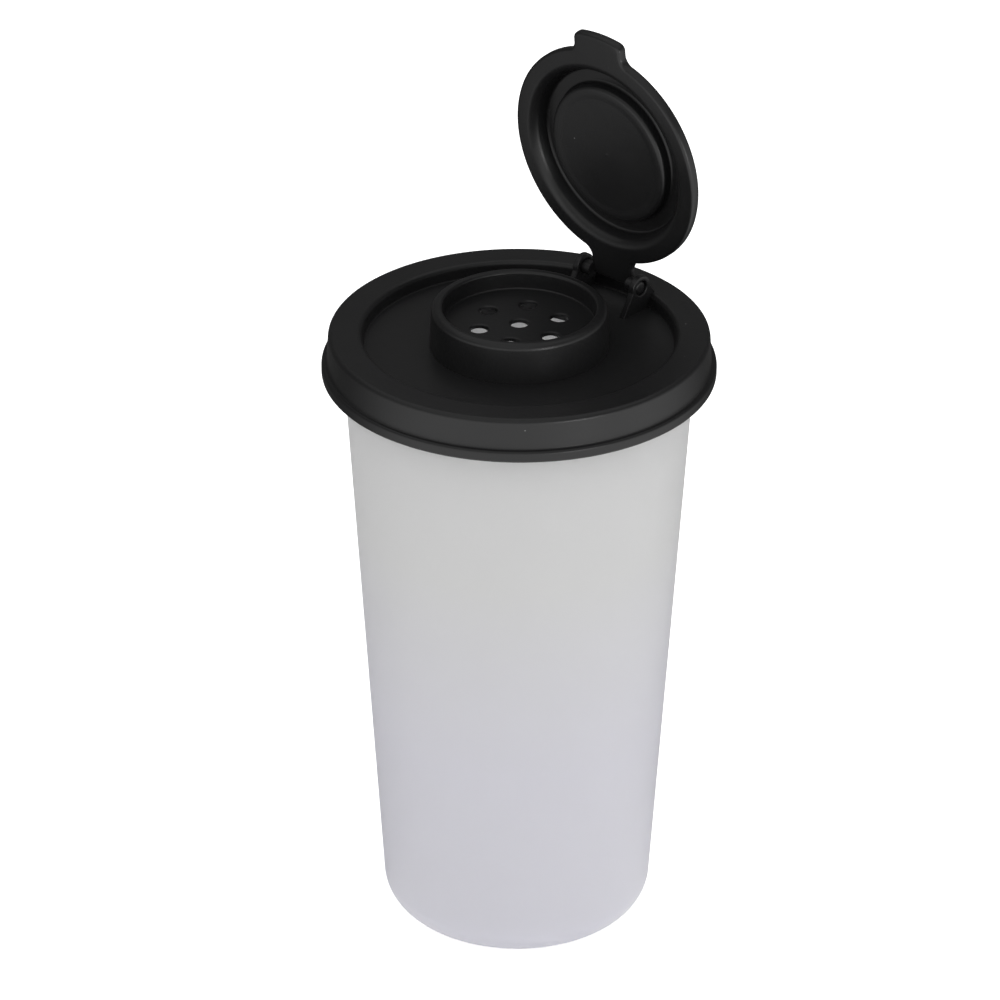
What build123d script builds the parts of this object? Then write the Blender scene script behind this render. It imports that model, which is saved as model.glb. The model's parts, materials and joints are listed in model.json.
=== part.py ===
from build123d import *
import os
from math import tan, radians

# A table-top spice shaker: a tall tapered cup, a press-on lid with a round pouring
# collar and a sifter floor, and a flip cap that swings on two stub pins.
# Z is the cup's axis, Z = 0 is the surface it stands on, the hinge is on the +Y side.

# Driving dimensions, millimetres and degrees
CUP_HEIGHT = 128.5            # foot to the top of the mouth bead
CUP_FOOT_RADIUS = 26.94       # where the line of the side meets the foot plane
CUP_DRAFT = 3.6
CUP_WALL = 1.8
CUP_FLOOR = 2.4               # height of the floor inside
CUP_CORNER = 6.8              # rounding between side and foot
CUP_FLOOR_EASE = 2.4          # sloping corner between the floor and the inner side
FOOT_RING_RADIUS = 17.6       # inner edge of the ring that the cup stands on
FOOT_RECESS = 0.9
BEAD_RADIUS = 36.15
BEAD_HEIGHT = 3.6             # the snap bead round the mouth
MOUTH_EASE = 0.3

LID_EDGE_Z = 121.5            # lower edge of the lid's skirt
LID_TOP_Z = 130.1             # top of the raised rim
FLANGE_RADIUS = 39.0
FLANGE_HEIGHT = 2.45
FLANGE_EASE = 0.4
SKIRT_FOOT_RADIUS = 38.0
SKIRT_TOP_RADIUS = 37.6
RIM_EASE = 0.7                # outer edge of the rim
RIM_INNER_RADIUS = 31.0
RIM_INNER_EASE = 0.4
DECK_Z = 127.4
DECK_EDGE_RADIUS = 30.6
DECK_THICKNESS = 1.5
LID_CLEARANCE = 0.25          # between the lid's channel and the cup's mouth
PLUG_DEPTH = 10.3             # how far the inner wall of the channel reaches down
PLUG_WALL = 1.3
PLUG_EASE = 0.4               # lead-in that finds the cup's mouth

COLLAR_RADIUS = 17.3
COLLAR_FOOT_RADIUS = 17.7
COLLAR_BORE_RADIUS = 15.1
COLLAR_TOP_Z = 135.7
COLLAR_EASE = 0.55
SIFTER_Z = 131.9
SIFTER_THICKNESS = 0.8
THROAT_RADIUS = 15.5
HOLE_RADIUS = 1.75
HOLE_EASE = 0.2               # eased upper edge of each hole
HOLE_PITCH_RADIUS = 8.25
HOLE_COUNT = 6                # round the ring, besides the one in the middle

HINGE_Y = 27.2
HINGE_Z = 132.3
PIN_RADIUS = 1.5
PIN_ROOT_X = 4.8              # the pins' roots lie inside the arm
PIN_END_X = 7.9
PIN_END_EASE = 0.3
PIN_CLEARANCE = 0.08
EAR_INNER_X = 6.8
EAR_THICKNESS = 1.3
EAR_RADIUS = 2.6
EAR_FRONT_Y = 21.9            # where the ear's sloping front meets the deck
EAR_ROOT = 1.0                # how far the ear's back runs into the rim

OPEN_ANGLE = 84.0             # how far the cap stands open
BRIM_RADIUS = 23.2
BRIM_THICKNESS = 2.2
BRIM_EASE = 0.7
GROOVE_OUTER_RADIUS = 19.0    # at the brim's face
GROOVE_FLOOR_RADIUS = 18.1
GROOVE_DEPTH = 3.5            # leaves 0.1 over the collar when the cap is shut
GROOVE_EASE = 0.5             # both corners of the groove's outer wall
PLUG_FACE_RADIUS = 14.6
PLUG_ROOT_RADIUS = 14.8
PLUG_SET_BACK = 1.1           # how far the plug's face lies behind the brim's face
DIMPLE_RADIUS = 12.0
DIMPLE_DEPTH = 0.25
CROWN_FOOT_RADIUS = 20.4
CROWN_TOP_RADIUS = 19.5
CROWN_HEIGHT = 4.6            # above the brim's face
CROWN_EASE = 0.8
DISH_RADIUS = 13.5
DISH_FLOOR_RADIUS = 13.2
DISH_FLOOR = 2.6              # above the brim's face
TAB_RADIUS = 26.9
TAB_HALF_WIDTH = 6.1
TAB_CORNER = 1.5
TAB_ROOT_FILLET = 2.2
ARM_HALF_WIDTH = 5.1
ARM_ROOT_FILLET = 2.4
ARM_END_THICKNESS = 1.4
ARM_TAIL = 0.7                # how far the arm's end reaches past the hinge axis

os.makedirs("parts", exist_ok=True)


def cup_radius(z):
    """Outer radius of the cup's drafted side at a height."""
    return CUP_FOOT_RADIUS + z * tan(radians(CUP_DRAFT))


def round_corners(sketch, corners):
    """Round the corners of an outline, each given as (x, y, radius)."""
    for x, y, radius in corners:
        fillet(sketch.vertices().sort_by_distance((x, y))[0], radius)


def ease_corners(sketch, corners):
    """Bevel the corners of an outline, each given as (x, y, leg)."""
    for x, y, leg in corners:
        chamfer(sketch.vertices().sort_by_distance((x, y))[0], leg)


# Container: a drafted, thin-walled cup with a ring foot and a snap bead at its mouth
mouth_radius = cup_radius(CUP_HEIGHT) - CUP_WALL
floor_radius = cup_radius(CUP_FLOOR) - CUP_WALL
bead_foot_z = CUP_HEIGHT - BEAD_HEIGHT
bead_foot_radius = cup_radius(bead_foot_z)
bead_edge_z = bead_foot_z + BEAD_RADIUS - bead_foot_radius

with BuildPart() as container:
    with BuildSketch(Plane.XZ) as cup_section:
        with BuildLine():
            Polyline(
                (0, FOOT_RECESS),
                (FOOT_RING_RADIUS - FOOT_RECESS, FOOT_RECESS),
                (FOOT_RING_RADIUS, 0),
                (CUP_FOOT_RADIUS, 0),
                (bead_foot_radius, bead_foot_z),
                (BEAD_RADIUS, bead_edge_z),
                (BEAD_RADIUS, CUP_HEIGHT),
                (mouth_radius, CUP_HEIGHT),
                (floor_radius, CUP_FLOOR),
                (0, CUP_FLOOR),
                close=True,
            )
        make_face()
        round_corners(cup_section, [(CUP_FOOT_RADIUS, 0, CUP_CORNER)])
        ease_corners(cup_section, [
            (BEAD_RADIUS, CUP_HEIGHT, MOUTH_EASE),
            (mouth_radius, CUP_HEIGHT, MOUTH_EASE),
            (floor_radius, CUP_FLOOR, CUP_FLOOR_EASE),
        ])
    revolve(axis=Axis.Z)
container.part.label = "container"
export_step(container.part, "parts/container.step")

# Press-on lid: flange, skirt, channel over the cup's mouth, sunk deck, collar, sifter
# floor, and two ears with sockets for the cap's pins
deck_under_z = DECK_Z - DECK_THICKNESS
plug_foot_z = CUP_HEIGHT - PLUG_DEPTH
plug_radius = cup_radius(plug_foot_z) - CUP_WALL - LID_CLEARANCE
channel_radius = BEAD_RADIUS + LID_CLEARANCE
flange_top_z = LID_EDGE_Z + FLANGE_HEIGHT
sifter_under_z = SIFTER_Z - SIFTER_THICKNESS

with BuildPart() as press_on_lid:
    with BuildSketch(Plane.XZ) as lid_section:
        with BuildLine():
            Polyline(
                (channel_radius, LID_EDGE_Z),
                (FLANGE_RADIUS, LID_EDGE_Z),
                (FLANGE_RADIUS, flange_top_z),
                (SKIRT_FOOT_RADIUS, flange_top_z),
                (SKIRT_TOP_RADIUS, LID_TOP_Z),
                (RIM_INNER_RADIUS, LID_TOP_Z),
                (DECK_EDGE_RADIUS, DECK_Z),
                (COLLAR_FOOT_RADIUS, DECK_Z),
                (COLLAR_RADIUS, COLLAR_TOP_Z),
                (COLLAR_BORE_RADIUS, COLLAR_TOP_Z),
                (COLLAR_BORE_RADIUS, SIFTER_Z),
                (0, SIFTER_Z),
                (0, sifter_under_z),
                (THROAT_RADIUS, sifter_under_z),
                (THROAT_RADIUS, deck_under_z),
                (plug_radius - PLUG_WALL, deck_under_z),
                (plug_radius - PLUG_WALL, plug_foot_z),
                (plug_radius, plug_foot_z),
                (plug_radius, CUP_HEIGHT),
                (channel_radius, CUP_HEIGHT),
                close=True,
            )
        make_face()
        ease_corners(lid_section, [
            (FLANGE_RADIUS, LID_EDGE_Z, FLANGE_EASE),
            (FLANGE_RADIUS, flange_top_z, FLANGE_EASE),
            (SKIRT_TOP_RADIUS, LID_TOP_Z, RIM_EASE),
            (RIM_INNER_RADIUS, LID_TOP_Z, RIM_INNER_EASE),
            (COLLAR_RADIUS, COLLAR_TOP_Z, COLLAR_EASE),
            (COLLAR_BORE_RADIUS, COLLAR_TOP_Z, COLLAR_EASE),
            (plug_radius, plug_foot_z, PLUG_EASE),
        ])
    revolve(axis=Axis.Z)

    with Locations((0, 0, SIFTER_Z)):
        Hole(HOLE_RADIUS)
        with PolarLocations(HOLE_PITCH_RADIUS, HOLE_COUNT):
            Hole(HOLE_RADIUS)
    rings = press_on_lid.edges().filter_by(GeomType.CIRCLE)
    rings = rings.filter_by_position(Axis.Z, SIFTER_Z - HOLE_EASE, SIFTER_Z + HOLE_EASE)
    chamfer(rings.filter_by(lambda ring: ring.radius < 2 * HOLE_RADIUS), HOLE_EASE)

    right_ear = Plane.YZ.offset(EAR_INNER_X)
    left_ear = Plane.YZ.offset(-EAR_INNER_X - EAR_THICKNESS)
    with BuildSketch(right_ear, left_ear):
        with BuildLine():
            Polyline(
                (EAR_FRONT_Y, DECK_Z - DECK_THICKNESS / 2),
                (EAR_FRONT_Y, DECK_Z),
                (HINGE_Y - EAR_RADIUS * 0.75, HINGE_Z - EAR_RADIUS * 0.25),
                (HINGE_Y, HINGE_Z),
                (HINGE_Y + EAR_RADIUS, HINGE_Z),
                (RIM_INNER_RADIUS + EAR_ROOT, LID_TOP_Z - RIM_INNER_EASE),
                (RIM_INNER_RADIUS + EAR_ROOT, DECK_Z - DECK_THICKNESS / 2),
                close=True,
            )
        make_face()
        with Locations((HINGE_Y, HINGE_Z)):
            Circle(EAR_RADIUS)
            Circle(PIN_RADIUS + PIN_CLEARANCE, mode=Mode.SUBTRACT)
    extrude(amount=EAR_THICKNESS)
press_on_lid.part.label = "press_on_lid"
export_step(press_on_lid.part, "parts/press_on_lid.step")

# Flip cap: drawn flat in the hinge's own plane, which stands open by OPEN_ANGLE.
# In that plane x is the hinge axis, the cap's middle lies at y = -HINGE_Y, and heights
# count from the brim's face.
cap_plane = Plane(Location((0, HINGE_Y, HINGE_Z), (-OPEN_ANGLE, 0, 0)))
cap_side = Plane(cap_plane.origin, x_dir=cap_plane.y_dir, z_dir=cap_plane.x_dir)
cap_middle = cap_plane.from_local_coords((0, -HINGE_Y, 0))
cap_section_plane = Plane(cap_middle, x_dir=cap_plane.x_dir, z_dir=-cap_plane.y_dir)
brim_far_y = -HINGE_Y - BRIM_RADIUS
brim_near_y = -HINGE_Y + BRIM_RADIUS

with BuildPart() as flip_cap:
    # Brim, thumb tab and arm
    with BuildSketch(cap_plane) as outline:
        with Locations((0, -HINGE_Y)):
            Circle(TAB_RADIUS)
        with Locations((0, brim_far_y)):
            Rectangle(2 * TAB_HALF_WIDTH, 2 * BRIM_RADIUS, mode=Mode.INTERSECT)
        fillet(outline.vertices().group_by(Axis.Y)[0], TAB_CORNER)
        with Locations((0, -HINGE_Y)):
            Circle(BRIM_RADIUS)
        with Locations((0, ARM_TAIL)):
            Rectangle(2 * ARM_HALF_WIDTH, HINGE_Y / 2, align=(Align.CENTER, Align.MAX))
        for side in (-1, 1):
            round_corners(outline, [
                (side * TAB_HALF_WIDTH, brim_far_y, TAB_ROOT_FILLET),
                (side * ARM_HALF_WIDTH, brim_near_y, ARM_ROOT_FILLET),
            ])
    extrude(amount=BRIM_THICKNESS)
    levels = flip_cap.faces().sort_by(Axis(cap_middle, cap_plane.z_dir))
    round_edges = (levels[0].edges() + levels[-1].edges()).filter_by(GeomType.CIRCLE)
    chamfer(round_edges, BRIM_EASE)

    # The arm thins towards its pins
    with BuildSketch(cap_side):
        with BuildLine():
            Polyline(
                (brim_near_y, BRIM_THICKNESS),
                (0, ARM_END_THICKNESS),
                (ARM_TAIL, ARM_END_THICKNESS),
                (ARM_TAIL, 2 * BRIM_THICKNESS),
                (brim_near_y, 2 * BRIM_THICKNESS),
                close=True,
            )
        make_face()
    extrude(amount=BRIM_RADIUS, both=True, mode=Mode.SUBTRACT)

    # Middle: groove over the collar, plug inside it, raised crown with a sunk dish
    with BuildSketch(cap_section_plane):
        Rectangle(GROOVE_OUTER_RADIUS + 1, 4 * CROWN_HEIGHT, align=(Align.MIN, Align.CENTER))
    revolve(axis=Axis(cap_middle, cap_plane.z_dir), mode=Mode.SUBTRACT)
    with BuildSketch(cap_section_plane) as middle_section:
        with BuildLine():
            Polyline(
                (0, PLUG_SET_BACK + DIMPLE_DEPTH),
                (DIMPLE_RADIUS, PLUG_SET_BACK + DIMPLE_DEPTH),
                (DIMPLE_RADIUS + DIMPLE_DEPTH, PLUG_SET_BACK),
                (PLUG_FACE_RADIUS, PLUG_SET_BACK),
                (PLUG_ROOT_RADIUS, GROOVE_DEPTH),
                (GROOVE_FLOOR_RADIUS, GROOVE_DEPTH),
                (GROOVE_OUTER_RADIUS, 0),
                (CROWN_FOOT_RADIUS, 0),
                (CROWN_FOOT_RADIUS, BRIM_THICKNESS),
                (CROWN_TOP_RADIUS, CROWN_HEIGHT),
                (DISH_RADIUS, CROWN_HEIGHT),
                (DISH_FLOOR_RADIUS, DISH_FLOOR),
                (0, DISH_FLOOR),
                close=True,
            )
        make_face()
        ease_corners(middle_section, [
            (PLUG_FACE_RADIUS, PLUG_SET_BACK, GROOVE_EASE),
            (GROOVE_FLOOR_RADIUS, GROOVE_DEPTH, GROOVE_EASE),
            (GROOVE_OUTER_RADIUS, 0, GROOVE_EASE),
            (CROWN_TOP_RADIUS, CROWN_HEIGHT, CROWN_EASE),
            (DISH_RADIUS, CROWN_HEIGHT, CROWN_EASE),
        ])
    revolve(axis=Axis(cap_middle, cap_plane.z_dir))

    # Stub pins, one on each side of the arm
    with BuildSketch(Plane.YZ.offset(PIN_ROOT_X), Plane.YZ.offset(-PIN_END_X)):
        with Locations((HINGE_Y, HINGE_Z)):
            Circle(PIN_RADIUS)
    extrude(amount=PIN_END_X - PIN_ROOT_X)
    pin_rims = flip_cap.edges().filter_by(
        lambda edge: abs(abs(edge.center().X) - PIN_END_X) < PIN_CLEARANCE
    )
    chamfer(pin_rims, PIN_END_EASE)
flip_cap.part.label = "flip_cap"
export_step(flip_cap.part, "parts/flip_cap.step")
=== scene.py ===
import json
from math import cos, pi, radians, sin, sqrt, tan

import bmesh
import bpy
from mathutils import Matrix, Vector


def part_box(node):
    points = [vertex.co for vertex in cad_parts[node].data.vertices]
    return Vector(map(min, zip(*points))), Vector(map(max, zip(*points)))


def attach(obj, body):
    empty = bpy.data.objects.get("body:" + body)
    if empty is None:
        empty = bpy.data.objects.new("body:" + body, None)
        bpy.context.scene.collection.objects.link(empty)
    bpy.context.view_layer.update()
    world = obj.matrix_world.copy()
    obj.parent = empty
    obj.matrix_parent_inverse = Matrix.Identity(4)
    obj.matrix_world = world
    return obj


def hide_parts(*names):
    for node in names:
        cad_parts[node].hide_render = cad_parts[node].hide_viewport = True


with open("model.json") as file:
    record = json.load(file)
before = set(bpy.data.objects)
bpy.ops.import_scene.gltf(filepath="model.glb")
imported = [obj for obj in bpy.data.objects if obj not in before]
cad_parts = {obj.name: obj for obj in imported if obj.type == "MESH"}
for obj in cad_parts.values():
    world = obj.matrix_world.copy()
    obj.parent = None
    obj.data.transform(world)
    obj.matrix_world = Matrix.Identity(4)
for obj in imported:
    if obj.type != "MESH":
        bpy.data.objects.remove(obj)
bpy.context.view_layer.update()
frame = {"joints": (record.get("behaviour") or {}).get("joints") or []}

# Meshes are drawn in millimetres and brought to metres when a piece is finished.
MM = 0.001
ROUND_STEPS = 240             # steps of a full turn on the large round forms
EAR_STEPS = 72                # on the round of a hinge ear
SMALL_STEPS = 64              # on the holes, the sockets and the pins
OUTLINE_CORNER_STEPS = 8      # steps of a fillet on the brim's outline
PLATE_EDGE_STEPS = 4          # steps of the rounding along a plate's edges
SAME_PLACE = 1e-4             # vertices nearer each other than this are one
SAME_LEVEL = 1e-6             # an edge whose ends differ less than this in height is level
SHARP_ANGLE = 40              # edges that turn by more degrees than this stay sharp
FLAT_WEIGHT = 90              # how strongly the large faces lead the shading

# Three roundings serve nearly every edge of the mouldings
SOFT_EDGE = 1.0
EASED_EDGE = 0.6
CRISP_EDGE = 0.3

# Container
cup_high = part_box("container")[1] / MM
CUP_HEIGHT = cup_high.z
CUP_FOOT_RADIUS = 26.94
CUP_DRAFT = 3.6               # degrees
CUP_WALL = 1.8
CUP_FLOOR = 2.4
CUP_CORNER = 6.8
FOOT_RING_RADIUS = 17.6
FOOT_RECESS = 0.9
BEAD_RADIUS = cup_high.x
BEAD_HEIGHT = 3.6

# Press-on lid
lid_low, lid_high = (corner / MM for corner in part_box("press_on_lid"))
LID_EDGE_Z = 121.5            # underside of the flange; the plug reaches further down
LID_TOP_Z = 130.1
FLANGE_RADIUS = lid_high.x
FLANGE_HEIGHT = 2.45
SKIRT_FOOT_RADIUS = 38.0
SKIRT_TOP_RADIUS = 37.6
RIM_INNER_RADIUS = 31.0
DECK_Z = 127.4
DECK_EDGE_RADIUS = 30.6
DECK_THICKNESS = 1.5
LID_CLEARANCE = 0.25
PLUG_FOOT_Z = lid_low.z
PLUG_WALL = 1.3
COLLAR_RADIUS = 17.3
COLLAR_FOOT_RADIUS = 17.7
COLLAR_BORE_RADIUS = 15.1
COLLAR_SHOULDER = 1.3         # the collar's outer edge is much rounder than its inner one
COLLAR_TOP_Z = lid_high.z
SIFTER_Z = 131.9
SIFTER_THICKNESS = 0.8
SIFTER_MARGIN = 1.0           # flat ring of the sifter's face turned together with the bore
THROAT_RADIUS = 15.5
THROAT_MARGIN = 0.6           # flat ring of the sifter's underside turned with the throat
HOLE_RADIUS = 1.75
HOLE_MARGIN = 0.5             # flat ring turned together with each hole
HOLE_PITCH_RADIUS = 8.25
HOLE_COUNT = 6                # in the ring round the middle hole
EAR_INNER_X = 6.8
EAR_THICKNESS = 1.3
EAR_RADIUS = 2.6
EAR_FRONT_Y = 21.9
EAR_ROOT = 1.0
EAR_EDGE = 0.2
SOCKET_MARGIN = 0.4           # flat ring turned together with each pin socket

# Flip cap, drawn flat about its own middle: x is the hinge axis, the thumb tab is at -y,
# the hinge at +y, and heights count from the brim's face
cap_hinge = next(joint for joint in frame["joints"] if joint["name"] == "cap_hinge")
HINGE = Vector(cap_hinge["pos_m"]) / MM
HINGE_REACH = HINGE.y
OPEN_ANGLE = 84.0             # degrees from shut, as the cap stands at rest
PIN_RADIUS = 1.5
PIN_CLEARANCE = 0.08
PIN_END_X = 7.9
PIN_END_EDGE = 0.7
PIN_ROOT_X = 4.8              # the pins' roots lie inside the arm
BRIM_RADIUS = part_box("flip_cap")[1].x / MM
BRIM_THICKNESS = 2.2
BRIM_EDGE = 0.7
BRIM_FILL_RADIUS = 21.0       # where the flat of the brim meets the turned middle
GROOVE_OUTER_RADIUS = 18.8
GROOVE_FLOOR_RADIUS = 17.8
GROOVE_DEPTH = 3.5
GROOVE_ROLL = 2.0             # the brim rolls over into the groove
PLUG_LIP = 0.9
PLUG_FACE_RADIUS = 14.6
PLUG_ROOT_RADIUS = 14.8
PLUG_SET_BACK = 1.1
DIMPLE_RADIUS = 12.0
DIMPLE_DEPTH = 0.06
DIMPLE_SLOPE = 1.0            # width of the soft step round the dimple
GATE_RADIUS = 0.5
GATE_HEIGHT = 0.1
CROWN_FOOT_RADIUS = 20.4
CROWN_TOP_RADIUS = 19.5
CROWN_HEIGHT = 4.6
DISH_RADIUS = 13.5
DISH_FLOOR_RADIUS = 13.2
DISH_FLOOR = 2.6
TAB_RADIUS = 26.9
TAB_HALF_WIDTH = 6.1
TAB_CORNER = 1.5
TAB_ROOT_FILLET = 2.2
TAB_ROOT_MARGIN = 1.7         # how far beyond the tab the brim's circle is opened
TAB_END_MARGIN = 1.2          # how far short of its corners the tab's end arc stops
ARM_HALF_WIDTH = 5.1
ARM_ROOT_FILLET = 2.4
ARM_ROOT_MARGIN = 1.9         # how far beyond the arm the brim's circle is opened
ARM_END_THICKNESS = 1.4
ARM_TAIL = 0.7                # how far the arm's end reaches past the hinge axis

# Finishes: heights and depths are in metres
GRAIN_HEIGHT = 0.00004
SINK_HEIGHT = 0.0004
PLASTIC_IOR = 1.49
BLACK_RESIN = (0.0065, 0.0065, 0.0068, 1)
DUST_GREY = (0.12, 0.12, 0.12, 1)
LILAC_WHITE = (0.725, 0.715, 0.84, 1)     # low on the cup
PLAIN_WHITE = (0.715, 0.715, 0.715, 1)    # and further up
LILAC_TOP_Z = 0.045
PLAIN_FOOT_Z = 0.09
MILKY_DEPTH = 0.008           # how far light spreads inside the cup's plastic

# Camera: where it stands in metres round the cup's axis, how it is aimed in degrees, and
# its lens in millimetres
CAMERA_TURN = 42.3
CAMERA_REACH = 0.958
CAMERA_HEIGHT = 0.6173
CAMERA_PAN = 0.22
CAMERA_TILT = 61.274
CAMERA_ROLL = 0.17
CAMERA_LENS = 196.7

# Studio: the floor and the walls are bright in front of the shaker and dim behind it
CAMERA_SIDE = CAMERA_TURN - 90    # the camera's direction on plan, counted from +X
BRIGHT_LEAD = 10                  # the bright side lies this far round from the camera
BRIGHT_TURN = CAMERA_SIDE + BRIGHT_LEAD
BRIGHT_FADE = 0.6             # cosine of the angle from the bright side where the fade ends
FLOOR_HALF_WIDTH = 4.0
FLOOR_GREY = (0.7, 0.7, 0.7, 1)
FLOOR_GLOW = 0.75             # brings the lit grey up to white for the camera
WALL_TOP = 10                 # degrees above the level where the walls begin to fade
CEILING_FOOT = 30             # degrees above the level where the ceiling is reached
CEILING_LIGHT = 0.08
EVEN_LIGHT = 0.94
LAMP_TARGET = Vector((0, 0, 0.09))    # about half way up the shaker


# ---------------------------------------------------------------- mesh helpers

def cup_radius(z):
    """Outer radius of the cup's drafted side at a height."""
    return CUP_FOOT_RADIUS + z * tan(radians(CUP_DRAFT))


def nearest(verts, x, y):
    """The vertex nearest a place on the outline's plane."""
    return min(verts, key=lambda vert: (vert.co.xy - Vector((x, y))).length)


def join_up(bm, run):
    """Join a run of vertices by edges."""
    for here, there in zip(run, run[1:]):
        bm.edges.new((here, there))


def round_corner(bm, corner, radius, segments):
    """Fillet one corner of an outline: the bevel's offset is the fillet's tangent length."""
    before, after = (edge.other_vert(corner).co - corner.co for edge in corner.link_edges)
    tangent = radius / tan(before.angle(after) / 2)
    bmesh.ops.bevel(
        bm, geom=[corner], offset=tangent, offset_type="OFFSET", affect="VERTICES",
        segments=segments, profile=0.5, material=-1,
    )


def add_to(bm, part):
    """Put a part's mesh into a piece's mesh."""
    mesh = bpy.data.meshes.new("part")
    part.to_mesh(mesh)
    part.free()
    bm.from_mesh(mesh)
    bpy.data.meshes.remove(mesh)


def turn(bm, section, centres=((0, 0),), steps=ROUND_STEPS):
    """Turn a section round upright axes. Each of its corners is (radius, height, fillet)."""
    part = bmesh.new()
    corners = [part.verts.new((radius, 0, height)) for radius, height, _ in section]
    join_up(part, corners)
    for corner, (_, _, fillet) in zip(corners, section):
        if fillet:
            # Two segments, and about four more for each millimetre of the radius
            round_corner(part, corner, fillet, segments=2 + round(4 * fillet))
    bmesh.ops.spin(
        part, geom=part.verts[:] + part.edges[:], cent=(0, 0, 0), axis=(0, 0, 1),
        dvec=(0, 0, 0), angle=2 * pi, steps=steps, use_merge=True, use_normal_flip=False,
        use_duplicate=False,
    )
    for x, y in centres:
        ring = part.copy()
        bmesh.ops.translate(ring, verts=ring.verts, vec=(x, y, 0))
        add_to(bm, ring)
    part.free()


def raise_plate(bm, thickness, edge):
    """Raise an outline at z = 0 into a plate with rounded edges, its two flats left open."""
    face = bmesh.ops.edgeloop_fill(bm, edges=bm.edges[:])["faces"]
    raised = bmesh.ops.extrude_face_region(bm, geom=face)["geom"]
    top = [item for item in raised if isinstance(item, bmesh.types.BMVert)]
    bmesh.ops.translate(bm, verts=top, vec=(0, 0, thickness))
    level = [
        rim for rim in bm.edges
        if abs(rim.verts[0].co.z - rim.verts[1].co.z) < SAME_LEVEL
    ]
    bmesh.ops.bevel(
        bm, geom=level, offset=edge, offset_type="OFFSET", affect="EDGES",
        segments=PLATE_EDGE_STEPS, profile=0.5, clamp_overlap=False, material=-1,
    )
    flats = sorted(bm.faces, key=lambda side: side.calc_area())[-2:]
    bmesh.ops.delete(bm, geom=flats, context="FACES_ONLY")


def fill_flats(bm, *heights):
    """Close the flats that lie between the open edges at each height."""
    for z in heights:
        rims = [
            edge for edge in bm.edges
            if edge.is_boundary and all(abs(vert.co.z - z) < SAME_PLACE for vert in edge.verts)
        ]
        bmesh.ops.triangle_fill(bm, use_beauty=True, use_dissolve=False, edges=rims)


def finish_piece(bm, name, material, body, node):
    """Close and orient a mesh, bring it to metres, and let it stand for its CAD node."""
    bmesh.ops.remove_doubles(bm, verts=bm.verts, dist=SAME_PLACE)
    bmesh.ops.recalc_face_normals(bm, faces=bm.faces)
    bmesh.ops.scale(bm, vec=(MM, MM, MM), verts=bm.verts)
    for face in bm.faces:
        face.smooth = True
    mesh = bpy.data.meshes.new(name)
    bm.to_mesh(mesh)
    bm.free()
    mesh.materials.append(material)
    mesh.set_sharp_from_angle(angle=radians(SHARP_ANGLE))
    piece = bpy.data.objects.new(name, mesh)
    bpy.context.scene.collection.objects.link(piece)
    weighted = piece.modifiers.new("flat faces stay flat", "WEIGHTED_NORMAL")
    weighted.mode = "FACE_AREA"
    weighted.weight = FLAT_WEIGHT
    weighted.keep_sharp = True
    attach(piece, body)
    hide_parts(node)


# ---------------------------------------------------------------- materials

def new_group(name, inputs, outputs):
    """An empty shader group with named inputs (name, default) and outputs (name, kind)."""
    group = bpy.data.node_groups.new(name, "ShaderNodeTree")
    for label, default in inputs:
        socket = group.interface.new_socket(label, in_out="INPUT", socket_type="NodeSocketFloat")
        socket.default_value = default
    for label, kind in outputs:
        group.interface.new_socket(label, in_out="OUTPUT", socket_type=kind)
    return group, group.nodes.new("NodeGroupInput"), group.nodes.new("NodeGroupOutput")


def new_math(nodes, operation):
    """A math node set to its operation."""
    node = nodes.new("ShaderNodeMath")
    node.operation = operation
    return node


def moulded_skin():
    """The skin of moulded plastic: fine grain, shallow sink and a low mottle."""
    group, given, out = new_group(
        "moulded skin",
        [("Grain Scale", 2500.0), ("Grain Depth", 0.1), ("Sink Scale", 60.0), ("Sink Depth", 0.1)],
        [("Mottle", "NodeSocketFloat"), ("Normal", "NodeSocketVector")],
    )
    nodes, links = group.nodes, group.links
    place = nodes.new("ShaderNodeTexCoord")
    grain = nodes.new("ShaderNodeTexNoise")
    grain.inputs["Detail"].default_value = 3
    sink = nodes.new("ShaderNodeTexNoise")
    sink.inputs["Detail"].default_value = 2
    grain_bump = nodes.new("ShaderNodeBump")
    grain_bump.inputs["Distance"].default_value = GRAIN_HEIGHT
    sink_bump = nodes.new("ShaderNodeBump")
    sink_bump.inputs["Distance"].default_value = SINK_HEIGHT
    links.new(place.outputs["Object"], grain.inputs["Vector"])
    links.new(place.outputs["Object"], sink.inputs["Vector"])
    links.new(given.outputs["Grain Scale"], grain.inputs["Scale"])
    links.new(given.outputs["Sink Scale"], sink.inputs["Scale"])
    links.new(given.outputs["Grain Depth"], grain_bump.inputs["Strength"])
    links.new(given.outputs["Sink Depth"], sink_bump.inputs["Strength"])
    links.new(grain.outputs["Fac"], grain_bump.inputs["Height"])
    links.new(sink.outputs["Fac"], sink_bump.inputs["Height"])
    links.new(sink_bump.outputs["Normal"], grain_bump.inputs["Normal"])
    links.new(sink.outputs["Fac"], out.inputs["Mottle"])
    links.new(grain_bump.outputs["Normal"], out.inputs["Normal"])
    return group


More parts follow.
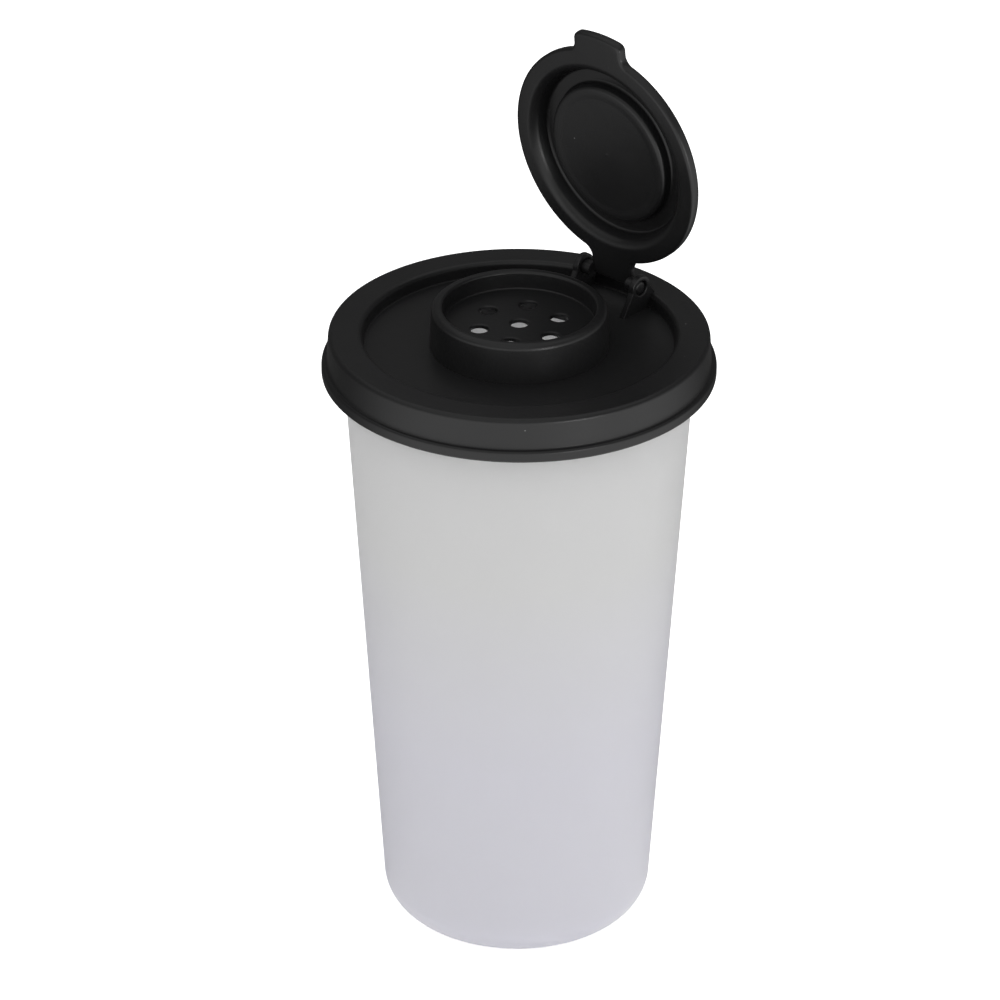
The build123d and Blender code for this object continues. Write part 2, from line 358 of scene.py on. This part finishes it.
def dust():
    """Sparse pale specks, one in a few cells of a lattice."""
    group, given, out = new_group(
        "dust", [("Spacing Scale", 260.0), ("Speck Size", 0.1), ("Share", 0.1)],
        [("Mask", "NodeSocketFloat")],
    )
    nodes, links = group.nodes, group.links
    place = nodes.new("ShaderNodeTexCoord")
    cells = nodes.new("ShaderNodeTexVoronoi")
    near = new_math(nodes, "LESS_THAN")
    pick = nodes.new("ShaderNodeSeparateColor")
    few = new_math(nodes, "LESS_THAN")
    both = new_math(nodes, "MULTIPLY")
    links.new(place.outputs["Object"], cells.inputs["Vector"])
    links.new(given.outputs["Spacing Scale"], cells.inputs["Scale"])
    links.new(cells.outputs["Distance"], near.inputs[0])
    links.new(given.outputs["Speck Size"], near.inputs[1])
    links.new(cells.outputs["Color"], pick.inputs["Color"])
    links.new(pick.outputs["Red"], few.inputs[0])
    links.new(given.outputs["Share"], few.inputs[1])
    links.new(near.outputs[0], both.inputs[0])
    links.new(few.outputs[0], both.inputs[1])
    links.new(both.outputs[0], out.inputs["Mask"])
    return group


def new_material(name):
    """A material with its nodes and links."""
    material = bpy.data.materials.new(name)
    material.use_nodes = True
    return material, material.node_tree.nodes, material.node_tree.links


def place_group(nodes, group, **values):
    """A shader group placed in a material, with its own values; _ stands for a space."""
    node = nodes.new("ShaderNodeGroup")
    node.node_tree = group
    for label, value in values.items():
        node.inputs[label.replace("_", " ")].default_value = value
    return node


def black_satin_plastic(skin, specks):
    """Black polypropylene with a satin mould finish and a little dust."""
    material, nodes, links = new_material("black satin plastic")
    shader = nodes["Principled BSDF"]
    surface = place_group(nodes, skin, Grain_Scale=2200, Grain_Depth=0.35,
                          Sink_Scale=90, Sink_Depth=0.25)
    dirt = place_group(nodes, specks, Spacing_Scale=230, Speck_Size=0.035, Share=0.12)
    tone = nodes.new("ShaderNodeMix")
    tone.data_type = "RGBA"
    tone.inputs["A"].default_value = BLACK_RESIN
    tone.inputs["B"].default_value = DUST_GREY
    gloss = nodes.new("ShaderNodeMapRange")
    gloss.inputs["From Min"].default_value = 0.3
    gloss.inputs["From Max"].default_value = 0.7
    gloss.inputs["To Min"].default_value = 0.32
    gloss.inputs["To Max"].default_value = 0.4
    links.new(dirt.outputs["Mask"], tone.inputs["Factor"])
    links.new(tone.outputs["Result"], shader.inputs["Base Color"])
    links.new(surface.outputs["Mottle"], gloss.inputs["Value"])
    links.new(gloss.outputs["Result"], shader.inputs["Roughness"])
    links.new(surface.outputs["Normal"], shader.inputs["Normal"])
    shader.inputs["IOR"].default_value = PLASTIC_IOR
    return material


def milky_plastic(skin):
    """Natural polypropylene: white, cloudy, and thin enough to let light into the cup."""
    material, nodes, links = new_material("milky white plastic")
    shader = nodes["Principled BSDF"]
    surface = place_group(nodes, skin, Grain_Scale=1100, Grain_Depth=0.6,
                          Sink_Scale=40, Sink_Depth=0.5)
    place = nodes.new("ShaderNodeTexCoord")
    split = nodes.new("ShaderNodeSeparateXYZ")
    height = nodes.new("ShaderNodeMapRange")
    height.inputs["From Min"].default_value = LILAC_TOP_Z
    height.inputs["From Max"].default_value = PLAIN_FOOT_Z
    tint = nodes.new("ShaderNodeMix")
    tint.data_type = "RGBA"
    tint.inputs["A"].default_value = LILAC_WHITE
    tint.inputs["B"].default_value = PLAIN_WHITE
    links.new(place.outputs["Object"], split.inputs["Vector"])
    links.new(split.outputs["Z"], height.inputs["Value"])
    links.new(height.outputs["Result"], tint.inputs["Factor"])
    links.new(tint.outputs["Result"], shader.inputs["Base Color"])
    links.new(surface.outputs["Normal"], shader.inputs["Normal"])
    shader.inputs["Roughness"].default_value = 0.42
    shader.inputs["IOR"].default_value = PLASTIC_IOR
    shader.inputs["Subsurface Weight"].default_value = 1.0
    shader.inputs["Subsurface Radius"].default_value = (1.0, 1.0, 1.0)
    shader.inputs["Subsurface Scale"].default_value = MILKY_DEPTH
    return material


# ---------------------------------------------------------------- pieces

def make_container(material):
    """The cup: one closed turn from the underside's middle, up the side, down the inside."""
    mouth_radius = cup_radius(CUP_HEIGHT) - CUP_WALL
    floor_radius = cup_radius(CUP_FLOOR) - CUP_WALL
    bead_foot_z = CUP_HEIGHT - BEAD_HEIGHT
    bead_foot_radius = cup_radius(bead_foot_z)
    bead_edge_z = bead_foot_z + BEAD_RADIUS - bead_foot_radius
    bm = bmesh.new()
    turn(bm, [
        (0, FOOT_RECESS, 0),
        (FOOT_RING_RADIUS - FOOT_RECESS, FOOT_RECESS, CRISP_EDGE),
        (FOOT_RING_RADIUS, 0, CRISP_EDGE),
        (CUP_FOOT_RADIUS, 0, CUP_CORNER),
        (bead_foot_radius, bead_foot_z, CRISP_EDGE),
        (BEAD_RADIUS, bead_edge_z, CRISP_EDGE),
        (BEAD_RADIUS, CUP_HEIGHT, EASED_EDGE),
        (mouth_radius, CUP_HEIGHT, EASED_EDGE),
        (floor_radius, CUP_FLOOR, CUP_CORNER - CUP_WALL),
        (0, CUP_FLOOR, 0),
    ])
    finish_piece(bm, "cup", material, "container", "container")


def add_sifter_holes(bm):
    """Close the collar's floor: seven turned holes with eased lips, then the flat between."""
    under_z = SIFTER_Z - SIFTER_THICKNESS
    ring = [
        tuple(Matrix.Rotation(2 * pi * hole / HOLE_COUNT, 2) @ Vector((HOLE_PITCH_RADIUS, 0)))
        for hole in range(HOLE_COUNT)
    ]
    turn(bm, [
        (HOLE_RADIUS + HOLE_MARGIN, SIFTER_Z, 0),
        (HOLE_RADIUS, SIFTER_Z, CRISP_EDGE),
        (HOLE_RADIUS, under_z, 0),
        (HOLE_RADIUS + HOLE_MARGIN, under_z, 0),
    ], centres=[(0, 0)] + ring, steps=SMALL_STEPS)
    fill_flats(bm, SIFTER_Z, under_z)


def add_ear(bm, low_x):
    """One hinge ear, drawn lying down: x is along the lid's y, y is up, z is along its x."""
    front_drop = EAR_RADIUS / 4    # the round reaches lower in front of the pin than behind it
    ear = bmesh.new()
    boss = bmesh.ops.create_circle(
        ear, segments=EAR_STEPS, radius=EAR_RADIUS,
        matrix=Matrix.Translation((HINGE.y, HINGE.z, 0)),
    )["verts"]
    hidden = [
        vert for vert in boss
        if vert.co.y < HINGE.z - (front_drop if vert.co.x < HINGE.y else 0) - SAME_PLACE
    ]
    bmesh.ops.delete(ear, geom=hidden, context="VERTS")
    boss = [vert for vert in boss if vert.is_valid]
    root_z = DECK_Z - DECK_THICKNESS / 2
    root_y = RIM_INNER_RADIUS + EAR_ROOT
    foot = [
        ear.verts.new((y, z, 0)) for y, z in (
            (EAR_FRONT_Y, DECK_Z), (EAR_FRONT_Y, root_z), (root_y, root_z),
            (root_y, LID_TOP_Z - SOFT_EDGE),
        )
    ]
    join_up(ear, [
        nearest(boss, HINGE.y - EAR_RADIUS, HINGE.z - front_drop), *foot,
        nearest(boss, HINGE.y + EAR_RADIUS, HINGE.z),
    ])
    raise_plate(ear, EAR_THICKNESS, EAR_EDGE)
    socket_radius = PIN_RADIUS + PIN_CLEARANCE
    turn(ear, [
        (socket_radius + SOCKET_MARGIN, 0, 0),
        (socket_radius, 0, EAR_EDGE),
        (socket_radius, EAR_THICKNESS, EAR_EDGE),
        (socket_radius + SOCKET_MARGIN, EAR_THICKNESS, 0),
    ], centres=[(HINGE.y, HINGE.z)], steps=SMALL_STEPS)
    fill_flats(ear, 0, EAR_THICKNESS)
    upright = Matrix(((0, 0, 1, low_x), (1, 0, 0, 0), (0, 1, 0, 0), (0, 0, 0, 1)))
    bmesh.ops.transform(ear, verts=ear.verts, matrix=upright)
    add_to(bm, ear)


def make_lid(material):
    """The lid: a turned section, the sifter floor with its holes, and the two hinge ears."""
    deck_under_z = DECK_Z - DECK_THICKNESS
    plug_radius = cup_radius(PLUG_FOOT_Z) - CUP_WALL - LID_CLEARANCE
    channel_radius = BEAD_RADIUS + LID_CLEARANCE
    flange_top_z = LID_EDGE_Z + FLANGE_HEIGHT
    sifter_under_z = SIFTER_Z - SIFTER_THICKNESS
    bm = bmesh.new()
    turn(bm, [
        (COLLAR_BORE_RADIUS - SIFTER_MARGIN, SIFTER_Z, 0),
        (COLLAR_BORE_RADIUS, SIFTER_Z, CRISP_EDGE),
        (COLLAR_BORE_RADIUS, COLLAR_TOP_Z, EASED_EDGE),
        (COLLAR_RADIUS, COLLAR_TOP_Z, COLLAR_SHOULDER),
        (COLLAR_FOOT_RADIUS, DECK_Z, 0),
        (DECK_EDGE_RADIUS, DECK_Z, CRISP_EDGE),
        (RIM_INNER_RADIUS, LID_TOP_Z, SOFT_EDGE),
        (SKIRT_TOP_RADIUS, LID_TOP_Z, SOFT_EDGE),
        (SKIRT_FOOT_RADIUS, flange_top_z, CRISP_EDGE),
        (FLANGE_RADIUS, flange_top_z, EASED_EDGE),
        (FLANGE_RADIUS, LID_EDGE_Z, EASED_EDGE),
        (channel_radius, LID_EDGE_Z, CRISP_EDGE),
        (channel_radius, CUP_HEIGHT, CRISP_EDGE),
        (plug_radius, CUP_HEIGHT, CRISP_EDGE),
        (plug_radius, PLUG_FOOT_Z, CRISP_EDGE),
        (plug_radius - PLUG_WALL, PLUG_FOOT_Z, CRISP_EDGE),
        (plug_radius - PLUG_WALL, deck_under_z, CRISP_EDGE),
        (THROAT_RADIUS, deck_under_z, CRISP_EDGE),
        (THROAT_RADIUS, sifter_under_z, CRISP_EDGE),
        (THROAT_RADIUS - THROAT_MARGIN, sifter_under_z, 0),
    ])
    add_sifter_holes(bm)
    for low_x in (-EAR_INNER_X - EAR_THICKNESS, EAR_INNER_X):
        add_ear(bm, low_x)
    finish_piece(bm, "lid", material, "lid", "press_on_lid")


def draw_brim_outline(bm):
    """The brim's circle, opened for the thumb tab and for the arm."""
    tab_root_y = -sqrt(BRIM_RADIUS ** 2 - TAB_HALF_WIDTH ** 2)
    tab_end_y = -sqrt(TAB_RADIUS ** 2 - TAB_HALF_WIDTH ** 2)
    arm_root_y = sqrt(BRIM_RADIUS ** 2 - ARM_HALF_WIDTH ** 2)
    brim = bmesh.ops.create_circle(bm, segments=ROUND_STEPS, radius=BRIM_RADIUS)["verts"]
    tab = bmesh.ops.create_circle(bm, segments=ROUND_STEPS, radius=TAB_RADIUS)["verts"]
    tab_gap = TAB_HALF_WIDTH + TAB_ROOT_MARGIN
    arm_gap = ARM_HALF_WIDTH + ARM_ROOT_MARGIN
    tab_arc = TAB_HALF_WIDTH - TAB_END_MARGIN
    dropped = [vert for vert in brim if abs(vert.co.x) < (tab_gap if vert.co.y < 0 else arm_gap)]
    dropped += [vert for vert in tab if vert.co.y > 0 or abs(vert.co.x) > tab_arc]
    bmesh.ops.delete(bm, geom=dropped, context="VERTS")
    brim = [vert for vert in brim if vert.is_valid]
    tab = [vert for vert in tab if vert.is_valid]
    corners = []
    arm_ends = []
    for side in (-1, 1):
        tab_run = [nearest(brim, side * TAB_HALF_WIDTH, tab_root_y)]
        for y, fillet in ((tab_root_y, TAB_ROOT_FILLET), (tab_end_y, TAB_CORNER)):
            tab_run.append(bm.verts.new((side * TAB_HALF_WIDTH, y, 0)))
            corners.append((tab_run[-1], fillet))
        tab_run.append(nearest(tab, side * TAB_HALF_WIDTH, tab_end_y))
        arm_run = [nearest(brim, side * ARM_HALF_WIDTH, arm_root_y)]
        arm_run.append(bm.verts.new((side * ARM_HALF_WIDTH, arm_root_y, 0)))
        corners.append((arm_run[-1], ARM_ROOT_FILLET))
        arm_run.append(bm.verts.new((side * ARM_HALF_WIDTH, HINGE_REACH + ARM_TAIL, 0)))
        arm_ends.append(arm_run[-1])
        join_up(bm, tab_run)
        join_up(bm, arm_run)
    bm.edges.new(arm_ends)
    for corner, fillet in corners:
        round_corner(bm, corner, fillet, segments=OUTLINE_CORNER_STEPS)


def add_pins(bm):
    """The two stub pins, turned round the hinge axis and laid along it."""
    for side in (-1, 1):
        pin = bmesh.new()
        turn(pin, [
            (0, PIN_ROOT_X, 0),
            (PIN_RADIUS, PIN_ROOT_X, 0),
            (PIN_RADIUS, PIN_END_X, PIN_END_EDGE),
            (0, PIN_END_X, 0),
        ], steps=SMALL_STEPS)
        bmesh.ops.transform(
            pin, verts=pin.verts,
            matrix=Matrix.Translation((0, HINGE_REACH, 0))
            @ Matrix.Rotation(side * pi / 2, 4, "Y"),
        )
        add_to(bm, pin)


def make_cap(material):
    """The flip cap: a flat brim with tab and arm, a turned middle, and the pins."""
    dimple_z = PLUG_SET_BACK + DIMPLE_DEPTH
    bm = bmesh.new()
    draw_brim_outline(bm)
    raise_plate(bm, BRIM_THICKNESS, BRIM_EDGE)
    turn(bm, [
        (BRIM_FILL_RADIUS, 0, 0),
        (GROOVE_OUTER_RADIUS, 0, GROOVE_ROLL),
        (GROOVE_FLOOR_RADIUS, GROOVE_DEPTH, EASED_EDGE),
        (PLUG_ROOT_RADIUS, GROOVE_DEPTH, EASED_EDGE),
        (PLUG_FACE_RADIUS, PLUG_SET_BACK, PLUG_LIP),
        (DIMPLE_RADIUS + DIMPLE_SLOPE, PLUG_SET_BACK, EASED_EDGE),
        (DIMPLE_RADIUS, dimple_z, SOFT_EDGE),
        (GATE_RADIUS, dimple_z, 0),
        (GATE_RADIUS / 2, dimple_z - GATE_HEIGHT, 0),
        (0, dimple_z - GATE_HEIGHT, 0),
    ])
    turn(bm, [
        (BRIM_FILL_RADIUS, BRIM_THICKNESS, 0),
        (CROWN_FOOT_RADIUS, BRIM_THICKNESS, CRISP_EDGE),
        (CROWN_TOP_RADIUS, CROWN_HEIGHT, SOFT_EDGE),
        (DISH_RADIUS, CROWN_HEIGHT, EASED_EDGE),
        (DISH_FLOOR_RADIUS, DISH_FLOOR, EASED_EDGE),
        (0, DISH_FLOOR, 0),
    ])
    fill_flats(bm, 0, BRIM_THICKNESS)

    # The arm thins towards its pins
    bmesh.ops.bisect_plane(
        bm, geom=bm.verts[:] + bm.edges[:] + bm.faces[:],
        plane_co=(0, BRIM_RADIUS, 0), plane_no=(0, 1, 0),
    )
    thinning = 1 - ARM_END_THICKNESS / BRIM_THICKNESS
    for vert in bm.verts:
        if vert.co.y > BRIM_RADIUS:
            vert.co.z *= 1 - thinning * (vert.co.y - BRIM_RADIUS) / (HINGE_REACH - BRIM_RADIUS)

    add_pins(bm)
    bmesh.ops.transform(
        bm, verts=bm.verts,
        matrix=Matrix.Translation(HINGE) @ Matrix.Rotation(radians(-OPEN_ANGLE), 4, "X")
        @ Matrix.Translation((0, -HINGE_REACH, 0)),
    )
    finish_piece(bm, "cap", material, "cap", "flip_cap")


# ---------------------------------------------------------------- stage

def make_camera():
    """A long lens a little over a metre away, looking down on the shaker."""
    data = bpy.data.cameras.new("camera")
    data.lens = CAMERA_LENS
    camera = bpy.data.objects.new("camera", data)
    bpy.context.scene.collection.objects.link(camera)
    camera.matrix_world = (
        Matrix.Rotation(radians(CAMERA_TURN), 4, "Z")
        @ Matrix.Translation((0, -CAMERA_REACH, CAMERA_HEIGHT))
        @ Matrix.Rotation(radians(CAMERA_PAN), 4, "Z")
        @ Matrix.Rotation(radians(CAMERA_TILT), 4, "X")
        @ Matrix.Rotation(radians(CAMERA_ROLL), 4, "Z")
    )
    bpy.context.scene.camera = camera


def front_light():
    """How bright the room looks in a direction on plan: full in front, dim behind."""
    group, given, out = new_group(
        "front light", [("Dim", 0.1), ("Full", 1.0)], [("Strength", "NodeSocketFloat")],
    )
    group.interface.new_socket("Place", in_out="INPUT", socket_type="NodeSocketVector")
    nodes, links = group.nodes, group.links
    level = nodes.new("ShaderNodeVectorMath")
    level.operation = "MULTIPLY"
    level.inputs[1].default_value = (1, 1, 0)
    aim = nodes.new("ShaderNodeVectorMath")
    aim.operation = "NORMALIZE"
    facing = nodes.new("ShaderNodeVectorMath")
    facing.operation = "DOT_PRODUCT"
    facing.inputs[1].default_value = (cos(radians(BRIGHT_TURN)), sin(radians(BRIGHT_TURN)), 0)
    share = nodes.new("ShaderNodeMapRange")
    share.interpolation_type = "SMOOTHSTEP"
    share.inputs["From Min"].default_value = -BRIGHT_FADE
    share.inputs["From Max"].default_value = BRIGHT_FADE
    links.new(given.outputs["Place"], level.inputs[0])
    links.new(level.outputs["Vector"], aim.inputs[0])
    links.new(aim.outputs["Vector"], facing.inputs[0])
    links.new(facing.outputs["Value"], share.inputs["Value"])
    links.new(given.outputs["Dim"], share.inputs["To Min"])
    links.new(given.outputs["Full"], share.inputs["To Max"])
    links.new(share.outputs["Result"], out.inputs["Strength"])
    return group


def make_floor(front):
    """A wide pale floor: white to the camera, bright in front in what the plastic mirrors."""
    bm = bmesh.new()
    bmesh.ops.create_grid(bm, x_segments=1, y_segments=1, size=FLOOR_HALF_WIDTH)
    mesh = bpy.data.meshes.new("floor")
    bm.to_mesh(mesh)
    bm.free()
    floor = bpy.data.objects.new("floor", mesh)
    bpy.context.scene.collection.objects.link(floor)
    material, nodes, links = new_material("pale floor")
    shader = nodes["Principled BSDF"]
    shader.inputs["Roughness"].default_value = 0.9
    shader.inputs["Specular IOR Level"].default_value = 0.1
    shader.inputs["Emission Color"].default_value = (1, 1, 1, 1)
    place = nodes.new("ShaderNodeTexCoord")
    mirrored = place_group(nodes, front, Dim=0.08, Full=1.15)
    path = nodes.new("ShaderNodeLightPath")
    tone = nodes.new("ShaderNodeMix")
    tone.data_type = "RGBA"
    tone.inputs["A"].default_value = FLOOR_GREY
    tone.inputs["B"].default_value = (0, 0, 0, 1)
    links.new(path.outputs["Is Glossy Ray"], tone.inputs["Factor"])
    links.new(tone.outputs["Result"], shader.inputs["Base Color"])
    glossy = new_math(nodes, "MULTIPLY")
    seen = new_math(nodes, "MULTIPLY_ADD")
    seen.inputs[1].default_value = FLOOR_GLOW
    links.new(place.outputs["Object"], mirrored.inputs["Place"])
    links.new(path.outputs["Is Glossy Ray"], glossy.inputs[0])
    links.new(mirrored.outputs["Strength"], glossy.inputs[1])
    links.new(path.outputs["Is Camera Ray"], seen.inputs[0])
    links.new(glossy.outputs[0], seen.inputs[2])
    links.new(seen.outputs[0], shader.inputs["Emission Strength"])
    mesh.materials.append(material)


def make_world(front):
    """Even light on the shaker; what it mirrors is a room with low walls and a dark ceiling."""
    # Past the floor's edge the camera sees that room too
    world = bpy.data.worlds.new("studio")
    bpy.context.scene.world = world
    world.use_nodes = True
    nodes, links = world.node_tree.nodes, world.node_tree.links
    background = nodes["Background"]
    path = nodes.new("ShaderNodeLightPath")
    seen = new_math(nodes, "MAXIMUM")
    clear = new_math(nodes, "MAXIMUM")
    links.new(path.outputs["Is Camera Ray"], seen.inputs[0])
    links.new(path.outputs["Is Glossy Ray"], seen.inputs[1])
    links.new(seen.outputs[0], clear.inputs[0])
    links.new(path.outputs["Is Transmission Ray"], clear.inputs[1])
    place = nodes.new("ShaderNodeTexCoord")
    split = nodes.new("ShaderNodeSeparateXYZ")
    mirrored = place_group(nodes, front, Dim=0.07, Full=0.9)
    wall = nodes.new("ShaderNodeMapRange")
    wall.inputs["From Min"].default_value = sin(radians(WALL_TOP))
    wall.inputs["From Max"].default_value = sin(radians(CEILING_FOOT))
    wall.inputs["To Max"].default_value = CEILING_LIGHT
    links.new(place.outputs["Generated"], split.inputs["Vector"])
    links.new(place.outputs["Generated"], mirrored.inputs["Place"])
    links.new(split.outputs["Z"], wall.inputs["Value"])
    links.new(mirrored.outputs["Strength"], wall.inputs["To Min"])
    strength = nodes.new("ShaderNodeMix")
    strength.data_type = "FLOAT"
    strength.inputs["A"].default_value = EVEN_LIGHT
    links.new(clear.outputs[0], strength.inputs["Factor"])
    links.new(wall.outputs["Result"], strength.inputs["B"])
    background.inputs["Color"].default_value = (1, 1, 1, 1)
    links.new(strength.outputs["Result"], background.inputs["Strength"])


def make_lamp(name, at, size, power):
    """A square soft lamp that faces the middle of the shaker."""
    data = bpy.data.lights.new(name, "AREA")
    data.shape = "SQUARE"
    data.size = size
    data.energy = power
    lamp = bpy.data.objects.new(name, data)
    bpy.context.scene.collection.objects.link(lamp)
    lamp.location = at
    lamp.rotation_mode = "QUATERNION"
    lamp.rotation_quaternion = (LAMP_TARGET - Vector(at)).to_track_quat("-Z", "Y")


skin = moulded_skin()
specks = dust()
black = black_satin_plastic(skin, specks)
milky = milky_plastic(skin)
make_container(milky)
make_lid(black)
make_cap(black)

make_camera()
front = front_light()
make_floor(front)
make_world(front)
make_lamp("overhead lamp", at=(0.0, -0.1, 1.3), size=2.4, power=7)
make_lamp("side lamp", at=(1.31, -0.34, 0.2), size=0.4, power=2.5)
make_lamp("front lamp", at=(0.5, -1.2, 0.7), size=2.0, power=1.8)
bpy.context.scene.view_settings.view_transform = "Standard"
